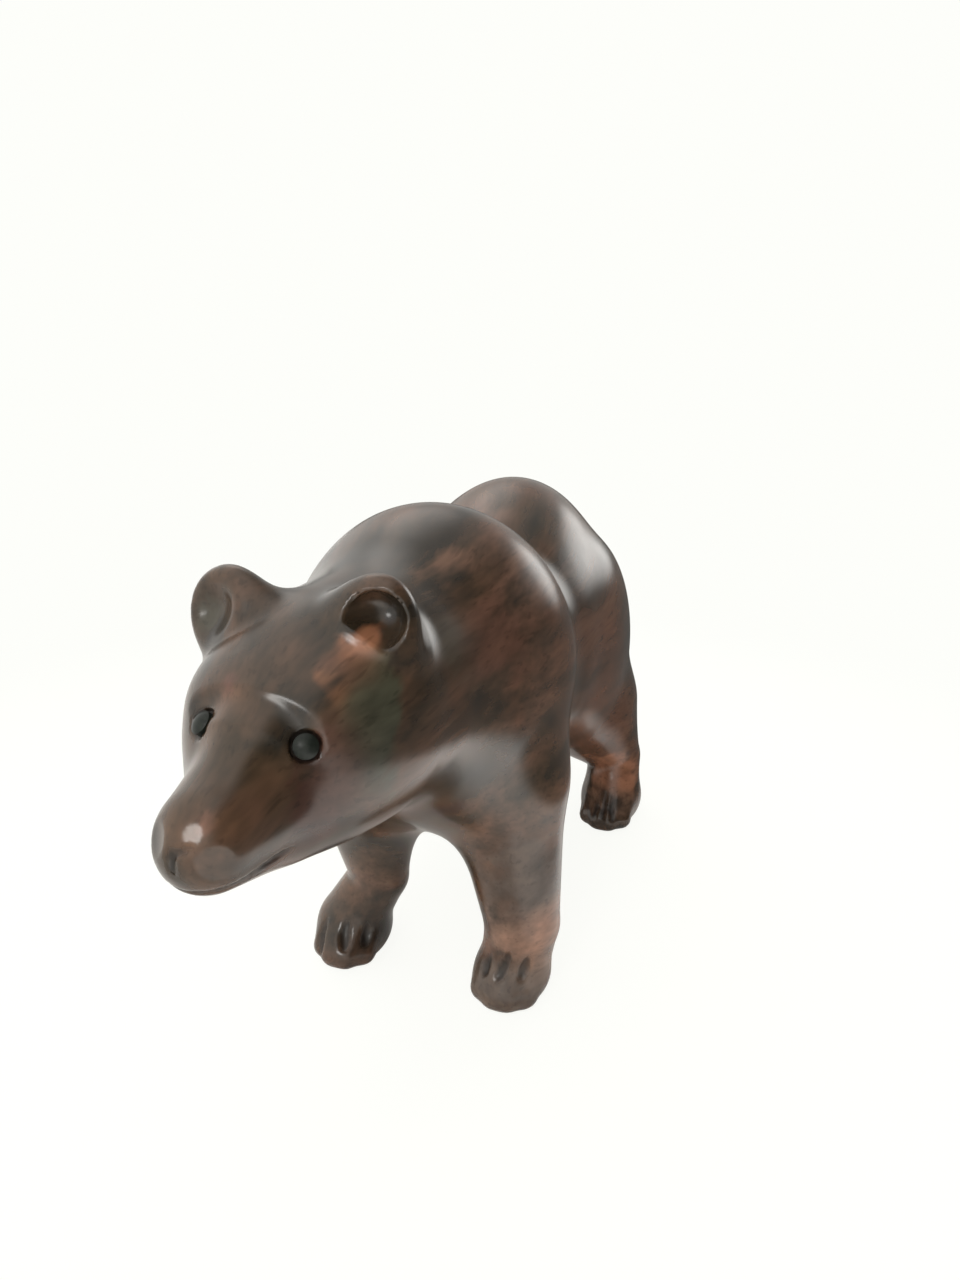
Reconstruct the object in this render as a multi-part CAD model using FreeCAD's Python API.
import FreeCAD, Part
import math
import os
from FreeCAD import Placement, Rotation, Vector

# A small bear carved from one block of dark wood, standing on four paws.
# Millimetres, +Z up, ground at z = 0. The nose points along -Y and the bear's
# own left side is +X. The origin is on the ground under the centre of the
# overall box. Three pieces: the carved block and two turned eye pegs, pressed
# into drilled and counterbored sockets.
#
# The block is a blend of rounded masses, each a function that gives the signed
# distance of a point (negative inside). A net of four-sided cells is drawn
# over the blend and each cell becomes one bicubic surface patch.

# ---------------------------------------------------------------- net and eyes
NET_STEP = 4.2                  # side of one surface patch
NET_LOW = (-44.3, -106.3, -9.7)
NET_HIGH = (44.0, 110.0, 126.0)
NET_SHIFT = 0.37                # move of the net's low corner from one start to the next
NET_STARTS = 12                 # most starts to go through
SMOOTHING_PASSES = 4
FINAL_PULLS = 2                 # pulls onto the form after the last smoothing
MAX_PULL = 2.0                  # limit on the gradient multiple of one pull
FITTING_ROUNDS = 12             # rounds that bring the patches through the net's points

EYE_POS = (9.82, -18.06, 3.14)  # left eye in the head's frame; the right eye negates x
EYE_DOME_R = 2.15
EYE_DOME_RISE = 0.8             # height of the dome above its rim
EYE_RING_R = 2.75               # counterbore round the eye
EYE_RING_DEPTH = 1.3
EYE_SHANK_R = 1.6
EYE_SHANK_LEN = 7.0             # depth of the peg below the counterbore
RING_CLEARANCE = 6.0            # the counterbore tool runs this far out of the wood
HOLE_OVERLAP = 0.5              # the drill tool runs this far into the counterbore
SOLE_BOX = (400, 400, 60)       # box that levels the soles, its top on the ground

# ---------------------------------------------------------------- kinds of mass
ADD, CUT = 1, -1


def turned_placement(centre, turn):
    """Frame at centre, turned by degrees about X, then Y, then Z."""
    about_x, about_y, about_z = turn
    return Placement(Vector(*centre), Rotation(about_z, about_y, about_x))


def placed(placement, form):
    """A form whose own frame is moved and turned by a placement."""
    to_local = placement.inverse()
    return lambda point: form(to_local.multVec(point))


def ellipsoid(centre, radii, turn=None):
    if turn:
        return placed(turned_placement(centre, turn), ellipsoid((0, 0, 0), radii))
    middle = Vector(*centre)
    radius_x, radius_y, radius_z = radii

    def distance(point):
        x, y, z = point - middle
        x /= radius_x
        y /= radius_y
        z /= radius_z
        reach = math.sqrt(x * x + y * y + z * z)
        x /= radius_x
        y /= radius_y
        z /= radius_z
        slope = math.sqrt(x * x + y * y + z * z) + 1e-12
        return reach * (reach - 1.0) / slope
    return distance


def bar(start, start_r, end, end_r):
    """Tapered bar with a ball at each end."""
    base = Vector(*start)
    axis = Vector(*end) - base
    length2 = axis.dot(axis)
    taper = start_r - end_r
    slant2 = length2 - taper * taper

    def distance(point):
        offset = point - base
        along = offset.dot(axis)
        beyond = along - length2
        across = offset * length2 - axis * along
        across2 = across.dot(across)
        along2 = along * along * length2
        beyond2 = beyond * beyond * length2
        limit = taper * abs(taper) * across2
        if math.copysign(slant2 * beyond2, beyond) > limit:
            return math.sqrt(across2 + beyond2) / length2 - end_r
        if math.copysign(slant2 * along2, along) < limit:
            return math.sqrt(across2 + along2) / length2 - start_r
        return (math.sqrt(across2 * slant2 / length2) + along * taper) / length2 - start_r
    return distance


def blend(base, steps):
    """Add or cut masses in turn; each step is (ADD or CUT, fillet width, form)."""
    def distance(point):
        total = base(point)
        for sign, width, form in steps:
            total *= sign           # a cut is an addition to the space outside
            other = form(point)
            gap = abs(total - other)
            total = min(total, other)
            if gap < width:
                total -= (width - gap) ** 2 / width * 0.25
            total *= sign
        return total
    return distance


# ---------------------------------------------------------------- trunk and legs
MIDLINE_X = -0.03
JOINT_BLEND = 0.88
PAW_BLEND = 7.04
PAW_FORWARD = 2.64              # paw centre ahead of the ankle
PAW_Z = 4.84
PAW_HALF_HEIGHT = 7.04


def lower_leg(joint, joint_r, ankle, ankle_r, paw_half_width, paw_half_length):
    """Bar from the wrist or hock to the ankle, and the paw."""
    x, y, z = ankle
    paw_radii = (paw_half_width, paw_half_length, PAW_HALF_HEIGHT)
    return [
        (ADD, JOINT_BLEND, bar(joint, joint_r, ankle, ankle_r)),
        (ADD, PAW_BLEND, ellipsoid((x, y - PAW_FORWARD, PAW_Z), paw_radii)),
    ]


def foreleg(side, wrist, wrist_r, *ankle_and_paw):
    shoulder = (MIDLINE_X + side * 17.86, -7.02, 50.6)
    upper = (ADD, 15.84, bar(shoulder, 13.55, wrist, wrist_r))
    return [upper] + lower_leg(wrist, wrist_r, *ankle_and_paw)


def hind_leg(side):
    """Side +1 is the bear's left, -1 its right."""
    thigh = (MIDLINE_X + side * 19.18, 78.66, 51.24)
    knee = (MIDLINE_X + side * 21.82, 82.18, 37.16)
    hock = (MIDLINE_X + side * 28.16, 86.7, 17.55)
    ankle = (MIDLINE_X + side * 28.56, 82.17, 7.92)
    return [
        (ADD, 18.48, ellipsoid(thigh, (11.11, 21.24, 30.72), (10, 0, 0))),
        (ADD, 10.56, bar(knee, 12.32, hock, 8.1)),
    ] + lower_leg(hock, 8.1, ankle, 8.69, 8.25, 13.65)


RUMP = ellipsoid((-1.81, 66.06, 68.71), (28.54, 32.05, 40.66), (-8, 0, 0))
TRUNK = [
    # belly
    (ADD, 21.12, ellipsoid((MIDLINE_X, 37.28, 69.08), (27.98, 37.46, 32.56))),
    # shoulder hump
    (ADD, 17.6, ellipsoid((MIDLINE_X, -1.89, 80.96), (31.97, 24.53, 35.97), (6, 0, 0))),
    # chest
    (ADD, 14.08, ellipsoid((MIDLINE_X, -16.0, 63.69), (21.55, 19.16, 16.01))),
    # neck
    (ADD, 17.6, bar((MIDLINE_X, -22.84, 86.29), 25.36, (-4.29, -48.69, 87.54), 23.48)),
]
# forelegs: side, wrist and radius, ankle and radius, paw half width and half length
LEGS = (
    foreleg(1, (23.38, -12.37, 19.6), 8.89, (20.61, -8.66, 7.92), 8.54, 8.1, 12.36)
    + foreleg(-1, (-16.01, -5.23, 20.83), 7.22, (-22.52, -3.11, 7.92), 8.7, 8.26, 14.44)
    + hind_leg(1)
    + hind_leg(-1)
)

# ---------------------------------------------------------------- head, in its own frame
HEAD_PLACEMENT = turned_placement((-6.11, -61.14, 90.79), (-1.87, 5.04, -0.69))
HEAD_BLEND = 8.8
BROW_HOLLOW_LEFT = (3.96, -21.23, 10.23)    # ends of the middle of the hollow
BROW_HOLLOW_RIGHT = (-5.28, -21.05, 10.05)
BROW_HOLLOW_R = 5.39
BROW_HOLLOW_END_R = 4.51
SHARP = 0.53                                # narrow fillet along the hollows

# The ball cut from the hollow of the left ear keeps it shallow.
LEFT_EAR_HOLLOW = placed(
    turned_placement((12.59, -0.19, 18.73), (0, 0, 0)),
    blend(ellipsoid((0, 0, 0), (6.16, 7.74, 6.16), (12, 24, 0)), [
        (CUT, SHARP, ellipsoid((-21.86, -9.39, -50.61), (52.8, 52.8, 52.8))),
    ]))
# The right ear with its cup.
RIGHT_EAR = placed(
    turned_placement((-17.61, 5.02, 14.28), (-12, -14, -4)),
    blend(ellipsoid((0, 0, 0), (8.14, 5.05, 8.95)), [
        (CUT, 2.29, ellipsoid((-1.63, -7.57, 0.98), (6.51, 6.51, 6.84), (10, -20, 0))),
    ]))

SKULL = ellipsoid((0, 0, 0), (19.72, 20.35, 15.1))
FACE_AND_EARS = [
    # cheeks
    (ADD, 7.92, ellipsoid((0, -5.57, -9.19), (16.33, 16.68, 13.72))),
    # brow
    (ADD, 4.4, ellipsoid((0, -7.56, 3.94), (15.17, 10.16, 6.56))),
    # brow hollow: middle, left end, right end
    (CUT, SHARP, bar(BROW_HOLLOW_RIGHT, BROW_HOLLOW_R, BROW_HOLLOW_LEFT, BROW_HOLLOW_R)),
    (CUT, SHARP, bar(BROW_HOLLOW_LEFT, BROW_HOLLOW_R, (10.56, -20.35, 7.23), BROW_HOLLOW_END_R)),
    (CUT, SHARP, bar(BROW_HOLLOW_RIGHT, BROW_HOLLOW_R, (-13.2, -19.11, 6.35), BROW_HOLLOW_END_R)),
    # muzzle
    (ADD, 3.08, bar((0, -12.85, -7.88), 12.42, (0, -29.13, -8.81), 7.17)),
    # root of the muzzle
    (ADD, 3.96, bar((-0.44, -15.31, 1.76), 6.34, (0, -27.72, -5.98), 4.4)),
    # lower jaw
    (ADD, 5.28, bar((0, -0.62, -15.47), 11.12, (0, -31.85, -10.07), 7.76)),
    # left ear
    (ADD, 2.29, ellipsoid((11.45, 4.21, 17.67), (7.88, 5.31, 9.33), (-10, 10, 0))),
    (CUT, SHARP, LEFT_EAR_HOLLOW),
    (ADD, 2.82, RIGHT_EAR),
]


def bear_form():
    head = placed(HEAD_PLACEMENT, blend(SKULL, FACE_AND_EARS))
    return blend(RUMP, TRUNK + LEGS + [(ADD, HEAD_BLEND, head)])


# ---------------------------------------------------------------- closed net over the form
AXIS_STEPS = ((1, 0, 0), (0, 1, 0), (0, 0, 1))
CELL_CORNERS = [(i, j, k) for i in (0, 1) for j in (0, 1) for k in (0, 1)]


def shifted(node, step, sign=1):
    return (node[0] + sign * step[0], node[1] + sign * step[1], node[2] + sign * step[2])


CELL_EDGES = [(corner, shifted(corner, step)) for step in AXIS_STEPS
              for corner in CELL_CORNERS if shifted(corner, step) in CELL_CORNERS]


def quad_net(form, low):
    """Points, one in each grid cell the surface crosses, and the quads joining them."""
    count_x, count_y, count_z = (
        math.ceil((high - start) / NET_STEP) + 1 for start, high in zip(low, NET_HIGH))
    nodes = [(i, j, k) for i in range(count_x) for j in range(count_y) for k in range(count_z)]
    origin = Vector(*low)
    value = {node: form(origin + Vector(*node) * NET_STEP) for node in nodes}

    points = []
    point_of_cell = {}
    for cell in nodes:
        if shifted(cell, (1, 1, 1)) not in value:
            continue
        at = {corner: value[shifted(cell, corner)] for corner in CELL_CORNERS}
        crossings = []
        for start, end in CELL_EDGES:
            if (at[start] < 0) != (at[end] < 0):
                part = at[start] / (at[start] - at[end])
                crossings.append(Vector(*start) + (Vector(*end) - Vector(*start)) * part)
        if crossings:
            mean = sum(crossings, Vector()) * (1 / len(crossings))
            point_of_cell[cell] = len(points)
            points.append(origin + (Vector(*cell) + mean) * NET_STEP)

    # Each grid edge that crosses the surface is ringed by four cells.
    quads = []
    for node in nodes:
        inside = value[node] < 0
        for axis in range(3):
            ahead = shifted(node, AXIS_STEPS[axis])
            if ahead not in value or (value[ahead] < 0) == inside:
                continue
            step_u = AXIS_STEPS[(axis + 1) % 3]
            step_v = AXIS_STEPS[(axis + 2) % 3]
            below_u = shifted(node, step_u, -1)
            below_v = shifted(node, step_v, -1)
            ring = (shifted(below_u, step_v, -1), below_v, node, below_u)
            quad = [point_of_cell[cell] for cell in ring]
            quads.append(quad if inside else quad[::-1])
    return points, quads


def is_clean(quads):
    """True if the net is closed and its quads make a single fan at every point."""
    sides = [side for quad in quads for side in zip(quad, quad[1:] + quad[:1])]
    unique = set(sides)
    if len(unique) < len(sides) or any((end, start) not in unique for start, end in sides):
        return False
    fans = {}
    for quad in quads:
        for i in range(4):
            fans.setdefault(quad[i], {})[quad[(i + 1) % 4]] = quad[i - 1]
    for fan in fans.values():
        first = next(iter(fan))
        neighbour = fan[first]
        visited = 1
        while neighbour != first:
            neighbour = fan[neighbour]
            visited += 1
        if visited != len(fan):
            return False
    return True


def pull_to_form(form, points, probe=0.05):
    """Move each point down the gradient towards the surface."""
    pulled = []
    for point in points:
        distance = form(point)
        gradient = Vector(*((form(point + Vector(*step) * probe) - distance) / probe
                            for step in AXIS_STEPS))
        steepness2 = gradient.dot(gradient)
        if steepness2 > 1e-6:
            pull = max(-MAX_PULL, min(MAX_PULL, distance / steepness2))
            point = point - gradient * pull
        pulled.append(point)
    return pulled


def point_means(quads, corner_values, count):
    """Mean, at each net point, of the values its quads give at that corner."""
    totals = [Vector() for _ in range(count)]
    shares = [0] * count
    for quad, values in zip(quads, corner_values):
        for index, value in zip(quad, values):
            totals[index] = totals[index] + value
            shares[index] += 1
    return [total * (1 / share) for total, share in zip(totals, shares)]


def relax(points, quads):
    """Move each point halfway to the mean centre of its quads."""
    centres = [[sum((points[i] for i in quad), Vector()) * 0.25] * 4 for quad in quads]
    means = point_means(quads, centres, len(points))
    return [point + (mean - point) * 0.5 for point, mean in zip(points, means)]


def smooth_net(form):
    """The first start that gives one clean closed net, evened out over the form."""
    for n in range(NET_STARTS):
        points, quads = quad_net(form, [low - NET_SHIFT * n for low in NET_LOW])
        if is_clean(quads):
            break
    for _ in range(SMOOTHING_PASSES):
        points = pull_to_form(form, relax(points, quads))
    for _ in range(FINAL_PULLS):
        points = pull_to_form(form, points)
    return points, quads


# ---------------------------------------------------------------- bicubic patches
# Pole places for each corner of a quad: the corner, the inner pole beside it,
# then the edge poles towards the next and the previous corner.
PATCH_POLES = (
    ((1, 1), (2, 2), (2, 1), (1, 2)),
    ((4, 1), (3, 2), (4, 2), (3, 1)),
    ((4, 4), (3, 3), (3, 4), (4, 3)),
    ((1, 4), (2, 3), (1, 3), (2, 4)),
)


def inner_poles(control, quads, valence):
    """The four inner poles of each patch, one beside each corner of its quad."""
    poles = []
    for quad in quads:
        row = []
        for i in range(4):
            near = quad[i]
            beside = control[quad[(i + 1) % 4]] + control[quad[i - 1]]
            opposite = control[quad[(i + 2) % 4]]
            total = control[near] * valence[near] + beside * 2 + opposite
            row.append(total * (1 / (valence[near] + 5)))
        poles.append(row)
    return poles


def patch_faces(points, quads):
    """One bicubic Bezier face to a quad, with the net's points on the surface."""
    count = len(points)
    valence = [0] * count
    for quad in quads:
        for index in quad:
            valence[index] += 1

    control = list(points)
    for _ in range(FITTING_ROUNDS):
        means = point_means(quads, inner_poles(control, quads, valence), count)
        control = [c + (point - mean) for c, point, mean in zip(control, points, means)]
    inner = inner_poles(control, quads, valence)
    corners = point_means(quads, inner, count)

    # An edge pole is midway between the inner poles on the two sides of the edge.
    edge_poles = {}
    for quad, row in zip(quads, inner):
        for i in range(4):
            for other in (quad[(i + 1) % 4], quad[i - 1]):
                edge = (quad[i], other)
                edge_poles[edge] = edge_poles.get(edge, Vector()) + row[i] * 0.5

    faces = []
    for quad, row in zip(quads, inner):
        surface = Part.BezierSurface()
        surface.increase(3, 3)
        for i, places in enumerate(PATCH_POLES):
            near = quad[i]
            poles = (corners[near], row[i],
                     edge_poles[near, quad[(i + 1) % 4]], edge_poles[near, quad[i - 1]])
            for (u, v), pole in zip(places, poles):
                surface.setPole(u, v, pole)
        faces.append(surface.toShape())
    return faces


# ---------------------------------------------------------------- pieces
def face_outward(solid):
    if solid.Volume < 0:
        solid.reverse()
    return solid


def carved_block(form):
    shell = Part.makeShell(patch_faces(*smooth_net(form)))
    shell.sewShape()
    block = face_outward(Part.makeSolid(shell))
    length, width, height = SOLE_BOX
    corner = Vector(-length / 2, -width / 2, -height)
    return block.cut(Part.makeBox(length, width, height, corner))


def eye_place(form, side):
    """Surface point and outward direction of one eye; side +1 is the bear's left."""
    x, y, z = EYE_POS
    point = HEAD_PLACEMENT.multVec(Vector(side * x, y, z))
    probe = 1.5
    outward = Vector(*(form(point + Vector(*step) * probe) - form(point - Vector(*step) * probe)
                       for step in AXIS_STEPS))
    outward.normalize()
    for _ in range(6):
        point = point - outward * form(point)
    return point, outward


def eye_peg(point, outward):
    """Turned peg: a shank, and a head with a domed face; z = 0 is the wood's surface."""
    seat = -EYE_RING_DEPTH
    foot = seat - EYE_SHANK_LEN
    outline = [Vector(radius, 0, z) for radius, z in (
        (0, foot), (EYE_SHANK_R, foot), (EYE_SHANK_R, seat), (EYE_DOME_R, seat), (EYE_DOME_R, 0))]
    edges = [Part.makeLine(start, end) for start, end in zip(outline, outline[1:])]
    sphere_r = (EYE_DOME_R ** 2 + EYE_DOME_RISE ** 2) / (2 * EYE_DOME_RISE)
    half_angle = math.asin(EYE_DOME_R / sphere_r) / 2
    middle = Vector(sphere_r * math.sin(half_angle), 0,
                    EYE_DOME_RISE - sphere_r + sphere_r * math.cos(half_angle))
    top = Vector(0, 0, EYE_DOME_RISE)
    edges.append(Part.Arc(outline[-1], middle, top).toShape())
    edges.append(Part.makeLine(top, outline[0]))
    profile = Part.Face(Part.Wire(edges))
    peg = face_outward(profile.revolve(Vector(0, 0, 0), Vector(0, 0, 1), 360))
    peg.Placement = Placement(point, Rotation(Vector(0, 0, 1), outward))
    return peg


def eye_socket(point, outward):
    """Counterbore that leaves a ring round the eye, and the drilled hole."""
    ring = Part.makeCylinder(EYE_RING_R, EYE_RING_DEPTH + RING_CLEARANCE,
                             point - outward * EYE_RING_DEPTH, outward)
    hole = Part.makeCylinder(EYE_SHANK_R, EYE_SHANK_LEN + HOLE_OVERLAP,
                             point - outward * (EYE_RING_DEPTH + EYE_SHANK_LEN), outward)
    return ring.fuse(hole)


def main():
    os.makedirs("parts", exist_ok=True)
    form = bear_form()
    block = carved_block(form)
    for side, name in ((1, "eye_left"), (-1, "eye_right")):
        point, outward = eye_place(form, side)
        block = block.cut(eye_socket(point, outward))
        eye_peg(point, outward).exportStep("parts/%s.step" % name)
    if len(block.Solids) == 1:
        block = block.Solids[0]
    block.exportStep("parts/carved_body.step")


main()
